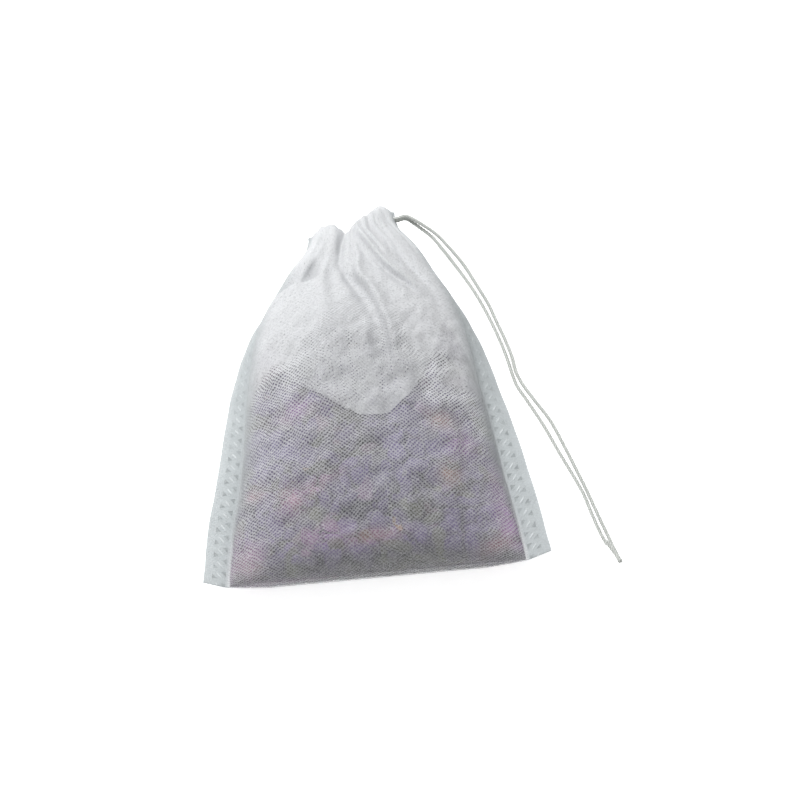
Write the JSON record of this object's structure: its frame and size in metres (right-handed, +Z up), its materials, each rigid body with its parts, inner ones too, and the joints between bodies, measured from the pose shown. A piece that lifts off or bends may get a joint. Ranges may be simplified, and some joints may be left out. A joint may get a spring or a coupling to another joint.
{
  "type": "drawstring tea filter bag",
  "caption": "Drawstring filter bag of white non-woven cloth with welded side seams, filled with dried flower tea and drawn shut, lying on its back with its string beside it.",
  "frame": {"origin": "under the middle of the bag, on the surface that it lies on, the free string left out", "axes": "+Y along the bag from its bottom fold to its gathered mouth, +X to the right across it, +Z up through the filling"},
  "size_m": [0.0962, 0.0949, 0.0218],
  "materials": {
    "cloth": "matte translucent non-woven with a fine point-bonded mesh",
    "tea": "matte dried petals and leaves",
    "yarn": "matte twisted yarn"
  },
  "bodies": {
    "root": {"filter_bag": "cloth", "tea_filling": "tea", "drawstring": "yarn", "drawstring_strand_1": "yarn", "drawstring_strand_2": "yarn", "drawstring_twisted_end": "yarn"}
  },
  "joints": []
}
